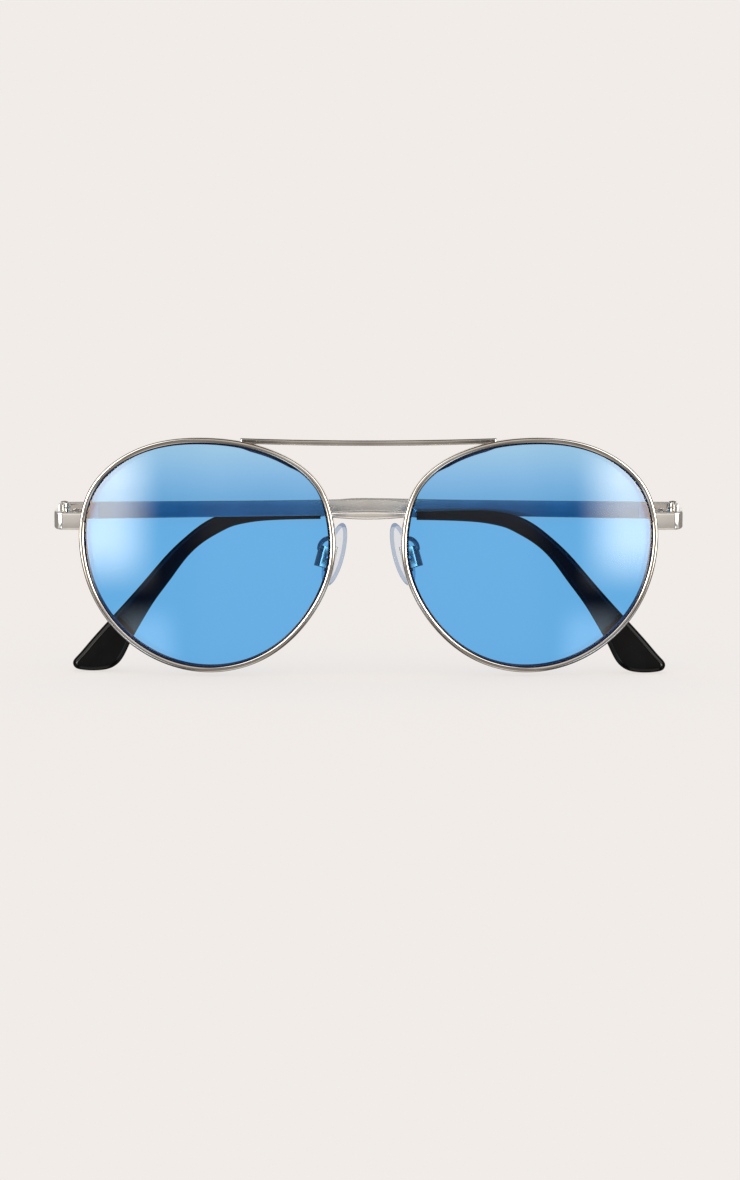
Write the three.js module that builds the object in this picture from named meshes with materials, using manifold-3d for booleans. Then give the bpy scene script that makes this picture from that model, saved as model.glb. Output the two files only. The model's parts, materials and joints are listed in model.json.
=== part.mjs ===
// Round metal aviator sunglasses, standing upright with both temples folded shut.
// Millimetres, +Z up. The front faces -Y, so the wearer's right side is at -X.
// Each side is built once, for the right (-X) side, and mirrored for the left.
import * as THREE from "three";
import { mergeVertices } from "three/addons/utils/BufferGeometryUtils.js";
import Module from "manifold-3d";

const wasm = await Module();
wasm.setup();
const degrees = THREE.MathUtils.degToRad;

// ---- Driving dimensions ----------------------------------------------------------------
const SOLDER_GAP = 0.12; // between pieces that are soldered or rest on each other
const RUNNING_GAP = 0.08; // radial clearance of screws and barrels

// Rim wire, seen from the front, relative to the lens centre: x towards the nose, z up.
const LENS_CENTRE_X = 37.6;
const LENS_CENTRE_Z = 27.25;
const WRAP_ANGLE = degrees(6); // each lens turns back towards its temple
const RIM_OUTLINE = [
  [29.5, 0], [29.2, 7.6], [26.75, 15.2], [14.1, 24.2], [0, 26.45], [-14, 24.4], [-25.9, 15.05],
  [-28.15, 0], [-23.1, -13.4], [-13, -22.55], [0, -26.25], [13.4, -23.25], [23.9, -13.9],
];
const RIM_FACE = 1.3; // width of the wire, seen from the front
const RIM_DEPTH = 2.5;
const GROOVE_DEPTH = 0.65;
const GROOVE_WIDTH = 1.0;
const RIM_STEPS = 64;
const RIM_SPLIT_HEIGHT = 34.9; // where the wire is open, at the closing block
const RIM_SPLIT = 0.3;

// Lens
const LENS_RADIUS = 120; // of the sphere that the lens is cut from
const LENS_THICKNESS = 1.8;
const LENS_EDGE_RADIUS = 28; // where the middle of the lens crosses the rim's plane
const TONGUE_THICKNESS = 0.6; // the bevel that sits in the rim's groove

// Bars that join the two rims
const BROW_HALF_LENGTH = 29.4;
const BROW_HEIGHT = 1.25;
const BROW_DEPTH = 1.5;
const BROW_Z = 53.65;
const BROW_Y = -0.5;
const BROW_BOW = 2.2;
const BROW_SAG = 0.38;
const BRIDGE_HALF_LENGTH = 9.4;
const BRIDGE_HEIGHT = 2.1;
const BRIDGE_END_HEIGHT = 1.1;
const BRIDGE_DEPTH = 1.7;
const BRIDGE_Z = 36.85;
const BRIDGE_Y = -3.0;
const BRIDGE_BOW = 0.9;

// Endpiece, a strap that turns back from the rim to the hinge
const STRAP_HEIGHT = 4.0;
const STRAP_THICKNESS = 1.1;
const STRAP_Z = 34.9;
const STRAP_START_X = -65.5;
const STRAP_FRONT_Y = 1.85;
const STRAP_OUTER_X = -72.5;
const STRAP_END_Y = 7.1;
const STRAP_CORNER = 2.3;
const STRAP_RISE = 0.18; // mm up for each mm back

// Closing block, two halves that a screw pulls together round the lens
const BLOCK_SIZE = { x: 2.4, y: 2.2, z: 1.85 };
const BLOCK_X = -67.4;
const BLOCK_Y = 4.3;
const CLOSING_SCREW = { radius: 0.45, headRadius: 0.75, headHeight: 0.45 };

// Hinge: a vertical screw through three knuckles
const HINGE_X = -70.1;
const HINGE_Y = 7.0;
const HINGE_Z = 36.9;
const KNUCKLE_RADIUS = 1.1;
const KNUCKLE_HEIGHT = 1.22;
const KNUCKLE_PITCH = 1.3;
const LEAF_HEIGHT = 3.4;
const LEAF_LENGTH = 7.6;
const HINGE_SCREW = { radius: 0.5, headRadius: 0.9, headHeight: 0.45 };

// Temple, along x from the hinge axis, with z above the ground
const TEMPLE_THICKNESS = 1.0;
const TEMPLE_Y = 1.7; // middle of the temple, outward from the hinge axis
const TEMPLE_START = 0.25;
const TIP_START = 81.2; // where the plastic tip begins
const TEMPLE_TOP = [
  [TEMPLE_START, 38.95], [30, 39.2], [59, 39.55], [70, 39.75], [76.5, 39.5], [79.6, 38.6], [TIP_START, 37.1],
];
const TEMPLE_BOTTOM = [
  [TIP_START, 35.4], [76, 35.8], [70, 35.95], [59, 35.85], [30, 35.4], [TEMPLE_START, 34.95],
];
const TIP_THICKNESS = 2.8;
const TIP_TOP = [
  [TIP_START + 0.15, 36.95], [90, 37.15], [97, 37.2], [102.5, 36.45], [107, 34.75], [112, 31.15],
  [116, 27.45], [121, 21.75], [125.1, 17.05], [130.5, 11.1], [134.8, 6.3], [137.66, 3],
];
const TIP_END = [[138.7, 1.5], [138.3, 0.4], [136.9, -0.2], [134.3, -0.4], [132, -0.35], [129.9, 0.1]];
const TIP_BOTTOM = [
  [127.7, 1.5], [126.7, 3.1], [125.3, 6.1], [122.7, 10.85], [119.4, 16.15], [115.9, 20.85], [112.5, 25.45],
  [109.5, 28.5], [106.6, 30.55], [104, 32], [102.05, 32.95], [99.6, 33.65], [97.2, 34.1], [91.5, 34.6],
  [TIP_START + 0.15, 34.85],
];
const CORE_HEIGHT = 1; // wire inside the tip
const CORE_THICKNESS = 0.8;
const CORE_ROUTE = [[80, 36.1], [92, 36.05], [99, 35.75], [105, 33.5], [112.3, 28.35], [118, 22.05]];
const RIGHT_FOLD = degrees(-1.2); // the right temple is folded first and lies nearer the lenses
const LEFT_FOLD = degrees(0.95); // the left temple lies over it

// Nose pad, in the frame of the pad: x towards the nose, y back, z along the pad
const PAD_CENTRE = [-7.8, 6, 27];
const PAD_SPLAY = degrees(30);
const PAD_TILT = degrees(17);
const PAD_HEIGHT = 15;
const PAD_WIDTH = 8;
const PAD_THICKNESS = 1.8;
const PAD_PIVOT = { x: -2.25, z: -1.3 }; // the screw that the pad rocks on
const PAD_BOX = { front: -1.4, back: -3.9, width: 2.6, height: 4.8, wall: 0.5 };
const PAD_LUG = { end: -2.7, width: 1.3, height: 1.4 };
const PAD_INSERT = { depth: 0.45, width: 3, height: 6 };
const PAD_SCREW = { radius: 0.35, headRadius: 0.65, headHeight: 0.4 };
const ARM_RADIUS = 0.55;
const ARM_LEVEL = 0.2; // where the arm meets the box, in the frame of the pad

// ---- Materials -------------------------------------------------------------------------
const silver = { color: 0xd9d4cc, roughness: 0.15, metalness: 1 };
const steel = { color: 0xb9b9bc, roughness: 0.3, metalness: 1 };
const blueLens = { color: 0x5ea6e0, roughness: 0.05, metalness: 0 };
const blackPlastic = { color: 0x0b0b0c, roughness: 0.15, metalness: 0 };
const clearVinyl = { color: 0xd8e2ee, roughness: 0.2, metalness: 0 };

// ---- Solids ----------------------------------------------------------------------------
function solid(geometry) {
  const bare = geometry.index ? geometry.toNonIndexed() : geometry.clone();
  bare.deleteAttribute("normal");
  bare.deleteAttribute("uv");
  const merged = mergeVertices(bare, 1e-4);
  const corners = merged.index.array;
  const kept = [];
  for (let i = 0; i < corners.length; i += 3) {
    const [a, b, c] = [corners[i], corners[i + 1], corners[i + 2]];
    if (a !== b && b !== c && c !== a) kept.push(a, b, c);
  }
  const vertProperties = new Float32Array(merged.attributes.position.array);
  const mesh = new wasm.Mesh({ numProp: 3, vertProperties, triVerts: new Uint32Array(kept) });
  const made = new wasm.Manifold(mesh);
  if (made.volume() > 0) return made;
  for (let i = 0; i < kept.length; i += 3) [kept[i + 1], kept[i + 2]] = [kept[i + 2], kept[i + 1]];
  return new wasm.Manifold(new wasm.Mesh({ numProp: 3, vertProperties, triVerts: new Uint32Array(kept) }));
}

// A named mesh of a solid. Of a solid that a cut has left in several pieces, the largest is kept.
function piece(name, made, finish) {
  const largest = made.decompose().reduce((best, next) => (next.volume() > best.volume() ? next : best));
  const mesh = largest.getMesh();
  const geometry = new THREE.BufferGeometry();
  geometry.setAttribute("position", new THREE.BufferAttribute(mesh.vertProperties, 3));
  geometry.setIndex(new THREE.BufferAttribute(mesh.triVerts, 1));
  geometry.computeVertexNormals();
  const part = new THREE.Mesh(geometry, new THREE.MeshStandardMaterial(finish));
  part.name = name;
  return part;
}

// A box between two corners.
function block([x0, y0, z0], [x1, y1, z1]) {
  const box = new THREE.BoxGeometry(x1 - x0, y1 - y0, z1 - z0);
  return solid(box.translate((x0 + x1) / 2, (y0 + y1) / 2, (z0 + z1) / 2));
}

// An upright cylinder standing on the point given.
function post(radius, height, [x, y, z], sides = 16) {
  const cylinder = new THREE.CylinderGeometry(radius, radius, height, sides);
  return solid(cylinder.rotateX(Math.PI / 2).translate(x, y, z + height / 2));
}

// An upright screw whose head is above the shaft.
function screw({ radius, headRadius, headHeight }, length, [x, y, z]) {
  const shaft = post(radius, length + headHeight / 2, [x, y, z]);
  return shaft.add(post(headRadius, headHeight, [x, y, z + length]));
}

// A plate whose outline lies in the XZ plane, y0 to y1 thick.
function plate(outline, y0, y1) {
  const shape = outline instanceof THREE.Shape ? outline : new THREE.Shape(outline);
  const geometry = new THREE.ExtrudeGeometry(shape, { depth: y1 - y0, bevelEnabled: false });
  return solid(geometry.rotateX(Math.PI / 2).translate(0, y1, 0));
}

// A section swept along a curve. On a curve in the XZ plane the section's x is -Y, its y is in the plane.
function sweep(section, curve, steps) {
  return solid(new THREE.ExtrudeGeometry(section, { extrudePath: curve, steps, bevelEnabled: false }));
}

function rectangle(width, height) {
  const [w, h] = [width / 2, height / 2];
  return new THREE.Shape([[-w, -h], [w, -h], [w, h], [-w, h]].map(([x, y]) => new THREE.Vector2(x, y)));
}

function circle(radius, sides) {
  return new THREE.Shape(new THREE.Path().absarc(0, 0, radius, 0, 2 * Math.PI).getPoints(sides).slice(1));
}

// Points of a smooth curve through the given ones.
function smooth(points, count) {
  return new THREE.SplineCurve(points.map(([x, y]) => new THREE.Vector2(x, y))).getPoints(count);
}

function routeXZ(points) {
  return new THREE.CatmullRomCurve3(points.map(([x, z]) => new THREE.Vector3(x, 0, z)));
}

// ---- Rims and lenses, in the plane of the rim ---------------------------------------------
const rimLoop = new THREE.CatmullRomCurve3(
  RIM_OUTLINE.map(([x, z]) => new THREE.Vector3(x, 0, z)), true, "centripetal",
);
const rimLength = rimLoop.getLength();

// How far round the loop, from 0 to 1, the wire is split on the side of the temple.
function splitPlace() {
  let place = 0;
  let nearest = Infinity;
  for (let u = 0.3; u < 0.6; u += 0.001) {
    const miss = Math.abs(rimLoop.getPointAt(u).z + LENS_CENTRE_Z - RIM_SPLIT_HEIGHT);
    if (miss < nearest) [nearest, place] = [miss, u];
  }
  return place;
}

class OpenRim extends THREE.Curve {
  constructor(gap) {
    super();
    this.start = splitPlace() + gap / 2 / rimLength;
    this.span = 1 - gap / rimLength;
  }

  getPoint(t, target = new THREE.Vector3()) {
    return target.copy(rimLoop.getPointAt((this.start + t * this.span) % 1));
  }
}

function rimWire() {
  const [d, f, w] = [RIM_DEPTH / 2, RIM_FACE / 2, GROOVE_WIDTH / 2];
  const edge = 0.2;
  const groove = [[w, -f], [w, GROOVE_DEPTH - f], [-w, GROOVE_DEPTH - f], [-w, -f]];
  const section = [...groove, [-d, -f], [-d, f - edge], [edge - d, f], [d - edge, f], [d, f - edge], [d, -f]];
  const shape = new THREE.Shape(section.map(([x, y]) => new THREE.Vector2(x, y)));
  return sweep(shape, new OpenRim(RIM_SPLIT), RIM_STEPS);
}

// The outline of the rim's middle moved inwards.
function rimOutline(inset) {
  return Array.from({ length: RIM_STEPS }, (_, i) => {
    const at = rimLoop.getPointAt(i / RIM_STEPS);
    const along = rimLoop.getTangentAt(i / RIM_STEPS);
    return new THREE.Vector2(at.x - inset * along.z, at.z + inset * along.x);
  });
}

function lensBody() {
  const surface = (r, side) => {
    const drop = LENS_RADIUS - Math.sqrt(LENS_RADIUS ** 2 - r ** 2);
    const edgeDrop = LENS_RADIUS - Math.sqrt(LENS_RADIUS ** 2 - LENS_EDGE_RADIUS ** 2);
    return new THREE.Vector2(r, drop - edgeDrop + (side * LENS_THICKNESS) / 2);
  };
  const radii = [0, 9, 17, 24, 31];
  const profile = [...radii.map((r) => surface(r, -1)), ...radii.reverse().map((r) => surface(r, 1))];
  const blank = solid(new THREE.LatheGeometry(profile, 32));
  const glass = blank.intersect(plate(rimOutline(RIM_FACE / 2 + SOLDER_GAP), -6, 6));
  const half = TONGUE_THICKNESS / 2;
  const tongue = plate(rimOutline(RIM_FACE / 2 - GROOVE_DEPTH + SOLDER_GAP), -half, half);
  return glass.add(tongue.subtract(plate(rimOutline(RIM_FACE / 2 + 1), -1, 1)));
}

// Places a solid made in the rim's plane into the frame of the whole front.
function wrapped(made) {
  const turned = made.rotate([0, 0, THREE.MathUtils.radToDeg(-WRAP_ANGLE)]);
  return turned.translate([-LENS_CENTRE_X, 0, LENS_CENTRE_Z]);
}

// The space that the rim takes up, with the gap round it.
function rimSpace() {
  const section = rectangle(RIM_DEPTH + 2 * SOLDER_GAP, RIM_FACE + 2 * SOLDER_GAP);
  return wrapped(sweep(section, new OpenRim(0.01), RIM_STEPS));
}
const rightRimSpace = rimSpace();
const bothRimSpaces = rightRimSpace.add(rightRimSpace.mirror([1, 0, 0]));

// ---- Bars between the rims ---------------------------------------------------------------
// A bar across the middle, bowed forwards, whose height may change along it.
function crossBar(halfLength, heightAt, depth, middle, bow, sag) {
  const count = 16;
  const x = (i) => halfLength * ((2 * i) / count - 1);
  const edge = (sign) => Array.from({ length: count + 1 }, (_, i) => [x(i), (sign * heightAt(x(i))) / 2]);
  const outline = [...edge(-1), ...edge(1).reverse()].map((point) => new THREE.Vector2(...point));
  const shape = new THREE.Shape(outline);
  const geometry = new THREE.ExtrudeGeometry(shape, { depth, bevelEnabled: false });
  geometry.rotateX(Math.PI / 2).translate(0, middle.y + depth / 2, middle.z);
  const position = geometry.attributes.position;
  for (let i = 0; i < position.count; i += 1) {
    const rise = 1 - (position.getX(i) / halfLength) ** 2;
    position.setY(i, position.getY(i) - bow * rise);
    position.setZ(i, position.getZ(i) - sag * rise);
  }
  return solid(geometry).subtract(bothRimSpaces);
}

function browBar() {
  const middle = { y: BROW_Y, z: BROW_Z };
  return crossBar(BROW_HALF_LENGTH, () => BROW_HEIGHT, BROW_DEPTH, middle, BROW_BOW, BROW_SAG);
}

function bridge() {
  const heightAt = (x) => BRIDGE_HEIGHT - (BRIDGE_HEIGHT - BRIDGE_END_HEIGHT) * (x / BRIDGE_HALF_LENGTH) ** 2;
  const middle = { y: BRIDGE_Y, z: BRIDGE_Z };
  return crossBar(BRIDGE_HALF_LENGTH, heightAt, BRIDGE_DEPTH, middle, BRIDGE_BOW, 0);
}

// ---- Endpiece and closing block ------------------------------------------------------------
function endpiece() {
  const corner = (radius) => {
    const [x, y] = [STRAP_OUTER_X + STRAP_CORNER, STRAP_FRONT_Y + STRAP_CORNER];
    return new THREE.Path().absarc(x, y, radius, 1.5 * Math.PI, Math.PI, true).getPoints(6);
  };
  const outside = corner(STRAP_CORNER);
  const inside = corner(STRAP_CORNER - STRAP_THICKNESS).reverse();
  const back = STRAP_FRONT_Y + STRAP_THICKNESS;
  const outline = [
    new THREE.Vector2(STRAP_START_X, back), new THREE.Vector2(STRAP_START_X, STRAP_FRONT_Y), ...outside,
    new THREE.Vector2(STRAP_OUTER_X, STRAP_END_Y),
    new THREE.Vector2(STRAP_OUTER_X + STRAP_THICKNESS, STRAP_END_Y),
    ...inside,
  ];
  const shape = new THREE.Shape(outline);
  const strap = new THREE.ExtrudeGeometry(shape, { depth: STRAP_HEIGHT, bevelEnabled: false });
  strap.translate(0, 0, STRAP_Z - STRAP_HEIGHT / 2 - STRAP_RISE * STRAP_FRONT_Y);
  strap.applyMatrix4(new THREE.Matrix4().makeShear(0, 0, 0, STRAP_RISE, 0, 0));
  return solid(strap).subtract(rightRimSpace);
}

function closingHalf(bottom) {
  const { x, y, z } = BLOCK_SIZE;
  const body = block(
    [BLOCK_X - x / 2, BLOCK_Y - y / 2, bottom],
    [BLOCK_X + x / 2, BLOCK_Y + y / 2, bottom + z],
  );
  const bore = post(CLOSING_SCREW.radius + RUNNING_GAP, 2 * z, [BLOCK_X, BLOCK_Y, bottom - z / 2]);
  return body.subtract(bore).subtract(rightRimSpace);
}

function closingPieces(side) {
  const low = RIM_SPLIT_HEIGHT - RIM_SPLIT / 2 - BLOCK_SIZE.z;
  const high = RIM_SPLIT_HEIGHT + RIM_SPLIT / 2;
  const top = high + BLOCK_SIZE.z + RUNNING_GAP;
  return [
    piece(`closing_block_lower_${side}`, closingHalf(low), silver),
    piece(`closing_block_upper_${side}`, closingHalf(high), silver),
    piece(`closing_screw_${side}`, screw(CLOSING_SCREW, top - low, [BLOCK_X, BLOCK_Y, low]), steel),
  ];
}

// ---- Hinge, about an upright axis through x = 0, y = 0 ---------------------------------------
function knuckle(level) {
  return post(KNUCKLE_RADIUS, KNUCKLE_HEIGHT, [0, 0, HINGE_Z + level * KNUCKLE_PITCH - KNUCKLE_HEIGHT / 2]);
}

function hingeBore() {
  return post(HINGE_SCREW.radius + RUNNING_GAP, 6, [0, 0, HINGE_Z - 3]);
}

// The leaf on the endpiece: a plate with the outer two knuckles.
function frontLeaf() {
  const outer = STRAP_OUTER_X + STRAP_THICKNESS + SOLDER_GAP - HINGE_X;
  const [bottom, top] = [HINGE_Z - LEAF_HEIGHT / 2, HINGE_Z + LEAF_HEIGHT / 2];
  let leaf = block([outer, -2.5, bottom], [-0.2, -KNUCKLE_RADIUS - RUNNING_GAP, top]);
  for (const level of [-1, 1]) {
    const z = HINGE_Z + level * KNUCKLE_PITCH;
    const neck = block([outer, -1.4, z - KNUCKLE_HEIGHT / 2], [-0.1, 0, z + KNUCKLE_HEIGHT / 2]);
    leaf = leaf.add(knuckle(level)).add(neck);
  }
  return leaf.subtract(hingeBore());
}

// The leaf on the temple: a longer plate with the middle knuckle.
function templeLeaf() {
  const outer = TEMPLE_Y - TEMPLE_THICKNESS / 2 - SOLDER_GAP;
  const clear = KNUCKLE_RADIUS + 0.25;
  const [bottom, top] = [HINGE_Z - LEAF_HEIGHT / 2, HINGE_Z + LEAF_HEIGHT / 2];
  const neckHeight = KNUCKLE_HEIGHT / 2;
  const neck = block([0, 0.2, HINGE_Z - neckHeight], [clear + 0.1, outer, HINGE_Z + neckHeight]);
  const leaf = block([clear, outer - 0.7, bottom], [LEAF_LENGTH, outer, top]);
  return leaf.add(neck).add(knuckle(0)).subtract(hingeBore());
}

function hingeScrew() {
  const bottom = HINGE_Z - KNUCKLE_PITCH - KNUCKLE_HEIGHT / 2;
  const top = HINGE_Z + KNUCKLE_PITCH + KNUCKLE_HEIGHT / 2 + RUNNING_GAP;
  return screw(HINGE_SCREW, top - bottom, [0, 0, bottom]);
}

// ---- Temple, from the hinge axis along +X ----------------------------------------------------
function outline(top, ...rest) {
  const points = [];
  for (const [stretch, count] of [top, ...rest]) points.push(...smooth(stretch, count));
  const apart = (point, i) => point.distanceTo(points[(i + 1) % points.length]) > 1e-3;
  return new THREE.Shape(points.filter(apart));
}

function templeBar() {
  const y0 = TEMPLE_Y - TEMPLE_THICKNESS / 2;
  const bar = plate(outline([TEMPLE_TOP, 12], [TEMPLE_BOTTOM, 10]), y0, y0 + TEMPLE_THICKNESS);
  const core = sweep(rectangle(CORE_THICKNESS, CORE_HEIGHT), routeXZ(CORE_ROUTE), 20);
  return bar.add(core.translate([0, TEMPLE_Y, 0]));
}

function templeTip() {
  const tip = outline([TIP_TOP, 24], [TIP_END, 8], [TIP_BOTTOM, 24]);
  const body = plate(tip, TEMPLE_Y - TIP_THICKNESS / 2, TEMPLE_Y + TIP_THICKNESS / 2);
  const last = CORE_ROUTE[CORE_ROUTE.length - 1];
  const route = routeXZ([...CORE_ROUTE.slice(0, -1), [last[0] + 0.2, last[1] - 0.2]]);
  const channel = rectangle(CORE_THICKNESS + 2 * SOLDER_GAP, CORE_HEIGHT + 2 * SOLDER_GAP);
  return body.subtract(sweep(channel, route, 20).translate([0, TEMPLE_Y, 0]));
}

function temple(side, fold) {
  const group = new THREE.Group();
  group.position.set(HINGE_X, HINGE_Y, 0);
  group.rotation.z = fold;
  group.add(
    piece(`temple_${side}`, templeBar(), silver),
    piece(`temple_tip_${side}`, templeTip(), blackPlastic),
    piece(`hinge_temple_leaf_${side}`, templeLeaf(), silver),
  );
  return group;
}

// ---- Nose pad, in its own frame ----------------------------------------------------------------
const padPlace = new THREE.Matrix4().compose(
  new THREE.Vector3(...PAD_CENTRE),
  new THREE.Quaternion().setFromEuler(new THREE.Euler(0, PAD_TILT, PAD_SPLAY, "ZYX")),
  new THREE.Vector3(1, 1, 1),
);

function padInsertSpace(gap) {
  const back = -PAD_THICKNESS / 2;
  const [w, h] = [PAD_INSERT.width / 2 + gap, PAD_INSERT.height / 2 + gap];
  return block([back - gap, -w, PAD_PIVOT.z - h], [back + PAD_INSERT.depth + gap, w, PAD_PIVOT.z + h]);
}

function nosePad() {
  const oval = new THREE.SphereGeometry(0.5, 20, 10);
  oval.scale(PAD_THICKNESS * 1.5, PAD_WIDTH, PAD_HEIGHT);
  const half = PAD_THICKNESS / 2;
  const slab = block([-half, -PAD_WIDTH, -PAD_HEIGHT], [half, PAD_WIDTH, PAD_HEIGHT]);
  return solid(oval).intersect(slab).subtract(padInsertSpace(SOLDER_GAP));
}

// A bore along the pad's y axis, for the screw.
function padBore(radius) {
  const cylinder = new THREE.CylinderGeometry(radius, radius, 6, 16);
  return solid(cylinder.translate(PAD_PIVOT.x, 0, PAD_PIVOT.z));
}

function padInsert() {
  const { end, width, height } = PAD_LUG;
  const [bottom, top] = [PAD_PIVOT.z - height / 2, PAD_PIVOT.z + height / 2];
  const lug = block([end, -width / 2, bottom], [0.2 - PAD_THICKNESS / 2, width / 2, top]);
  return padInsertSpace(0).add(lug).subtract(padBore(PAD_SCREW.radius + RUNNING_GAP));
}

function padBox() {
  const { front, back, width, height, wall } = PAD_BOX;
  const [w, h] = [width / 2, height / 2];
  const outside = block([back, -w, -h], [front, w, h]);
  const inside = block([back + wall, wall - w, -h - 1], [front + 1, w - wall, h + 1]);
  const folded = outside.subtract(inside).translate([0, 0, PAD_PIVOT.z]);
  return folded.subtract(padBore(PAD_SCREW.radius + RUNNING_GAP));
}

function padScrew() {
  const half = PAD_BOX.width / 2 + RUNNING_GAP;
  const upright = screw(PAD_SCREW, 2 * half, [0, 0, -half]);
  return upright.rotate([90, 0, 0]).translate([PAD_PIVOT.x, 0, PAD_PIVOT.z]);
}

// The wire from the back of the rim, out behind the lens and back to the pad's box.
function padArm() {
  const armEnd = PAD_BOX.back - SOLDER_GAP - ARM_RADIUS;
  const boxBack = new THREE.Vector3(armEnd, 0, ARM_LEVEL).applyMatrix4(padPlace);
  const points = [
    new THREE.Vector3(-8.3, -1.65, 31.3),
    new THREE.Vector3(-8.8, 0.5, 31.2),
    new THREE.Vector3(-10.4, 2.4, 30.5),
    new THREE.Vector3(boxBack.x + 0.15, boxBack.y - 0.8, boxBack.z + 0.9), boxBack,
  ];
  const wire = sweep(circle(ARM_RADIUS, 8), new THREE.CatmullRomCurve3(points), 12);
  return wire.subtract(rightRimSpace);
}

function pad(side) {
  const group = new THREE.Group();
  group.applyMatrix4(padPlace);
  group.add(
    piece(`nose_pad_${side}`, nosePad(), clearVinyl),
    piece(`pad_insert_${side}`, padInsert(), steel),
    piece(`pad_box_${side}`, padBox(), silver),
    piece(`pad_screw_${side}`, padScrew(), steel),
  );
  return group;
}

// ---- Assembly ----------------------------------------------------------------------------------
function halfOfGlasses(side, mirror, fold) {
  const half = new THREE.Group();
  half.scale.x = mirror;
  const hinge = new THREE.Group();
  hinge.position.set(HINGE_X, HINGE_Y, 0);
  hinge.add(
    piece(`hinge_front_leaf_${side}`, frontLeaf(), silver),
    piece(`hinge_screw_${side}`, hingeScrew(), steel),
  );
  half.add(
    piece(`rim_${side}`, wrapped(rimWire()), silver),
    piece(`lens_${side}`, wrapped(lensBody()), blueLens),
    piece(`endpiece_${side}`, endpiece(), silver),
    ...closingPieces(side),
    piece(`pad_arm_${side}`, padArm(), silver),
    pad(side),
    hinge,
    temple(side, fold),
  );
  return half;
}

const model = new THREE.Group();
model.add(
  halfOfGlasses("right", 1, RIGHT_FOLD),
  halfOfGlasses("left", -1, LEFT_FOLD),
  piece("brow_bar", browBar(), silver),
  piece("bridge", bridge(), silver),
);

// The origin is at the middle of the box that the object fills, on the ground.
const glasses = new THREE.Group();
glasses.add(model);
const space = new THREE.Box3().setFromObject(glasses, true);
model.position.set(-(space.min.x + space.max.x) / 2, -(space.min.y + space.max.y) / 2, -space.min.z);

export default glasses;
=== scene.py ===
"""The looks of a pair of round metal aviator sunglasses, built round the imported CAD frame.

Pieces are drawn for the right side, in the frame of the front: in mm, with the right side at -X and the front
facing -Y. row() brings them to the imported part's frame in metres, mirrored for the left side.
"""

import json
import math

import bmesh
import bpy
import numpy as np
from mathutils import Matrix, Vector


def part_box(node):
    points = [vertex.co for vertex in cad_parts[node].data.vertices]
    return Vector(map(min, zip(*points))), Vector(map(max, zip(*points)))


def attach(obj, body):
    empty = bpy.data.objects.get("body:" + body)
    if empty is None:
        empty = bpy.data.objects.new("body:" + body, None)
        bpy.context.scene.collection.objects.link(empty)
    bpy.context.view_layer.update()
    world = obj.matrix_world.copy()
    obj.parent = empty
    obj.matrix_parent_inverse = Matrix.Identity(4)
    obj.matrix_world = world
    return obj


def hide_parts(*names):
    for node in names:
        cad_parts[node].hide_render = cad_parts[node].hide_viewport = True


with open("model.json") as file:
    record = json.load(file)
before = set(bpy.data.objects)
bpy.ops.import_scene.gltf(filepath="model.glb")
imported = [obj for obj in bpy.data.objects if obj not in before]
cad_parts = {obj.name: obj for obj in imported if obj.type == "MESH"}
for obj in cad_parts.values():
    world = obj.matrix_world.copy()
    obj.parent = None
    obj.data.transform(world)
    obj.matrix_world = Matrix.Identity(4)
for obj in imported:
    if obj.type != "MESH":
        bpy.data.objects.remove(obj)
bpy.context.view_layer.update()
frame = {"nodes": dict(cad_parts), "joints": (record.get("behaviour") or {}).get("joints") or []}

# ---- Driving dimensions, in mm ------------------------------------------------------------
MM = 0.001
SIDES = {"right": 1, "left": -1}
JOINTS = {joint["name"]: joint for joint in frame["joints"]}
HINGE = np.array([-70.1, 7.0, 36.9])  # the right hinge's axis, in the frame of the front
ORIGIN = np.array(JOINTS["right_temple_fold"]["pos_m"]) / MM - HINGE

# Rim and lens, in the plane of the rim: x towards the nose, z up, from the middle of the lens
LENS_CENTRE = np.array([-37.6, 0, 27.25])
WRAP = math.radians(6)
RIM_OUTLINE = [
    (29.5, 0), (29.2, 7.6), (26.75, 15.2), (14.1, 24.2), (0, 26.45), (-14, 24.4), (-25.9, 15.05),
    (-28.15, 0), (-23.1, -13.4), (-13, -22.55), (0, -26.25), (13.4, -23.25), (23.9, -13.9),
]
RIM_FACE = 1.3
RIM_DEPTH = 2.5
RIM_ROUND = 0.5
GROOVE_DEPTH = 0.6
GROOVE_WIDTH = 1.0
RIM_SPLIT = 0.3
RIM_SPLIT_HEIGHT = 34.9
RIM_SPACING = 0.7375  # of the points along it
LENS_RADIUS = 120
LENS_THICKNESS = 1.8
LENS_EDGE_RADIUS = 28
LENS_SHOULDER = 0.7  # how far inside the middle of the rim's wire the body of the lens ends
LENS_CHAMFER = 0.3
TONGUE_REACH = 0.18  # and its tongue
TONGUE_THICKNESS = 0.6
# How wide the dark edge of the lens shows inside the rim, drawn wider at the upper nasal side as a painted
# shadow line, and wider along the bottom: angle from the nose upwards, in degrees, and width
EDGE_AND_SHADE_MARGIN = [
    (-180, 0.35), (-135, 0.5), (-90, 0.45), (-60, 0.35), (-45, 0.3), (0, 0.35), (20, 0.3), (30, 0.13),
    (42, 0.13), (47, 0.5), (66, 0.5), (71, 0.2), (90, 0.18), (135, 0.13), (160, 0.15), (180, 0.35),
]

# Bars between the rims
BROW = {"half": 29.4, "z": 53.65, "y": -0.5, "bow": 2.2, "sag": 0.38, "height": 1.25, "depth": 1.5}
BRIDGE = {"half": 9.2, "z": 36.85, "y": -3.0, "bow": 0.9, "sag": 0, "height": 2.1, "depth": 1.7}
BRIDGE_END_HEIGHT = 1.1
BAR_END = 0.3  # length of a bar's rounded end
BAR_TAPER = 0.25  # how much smaller its very end is

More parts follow.
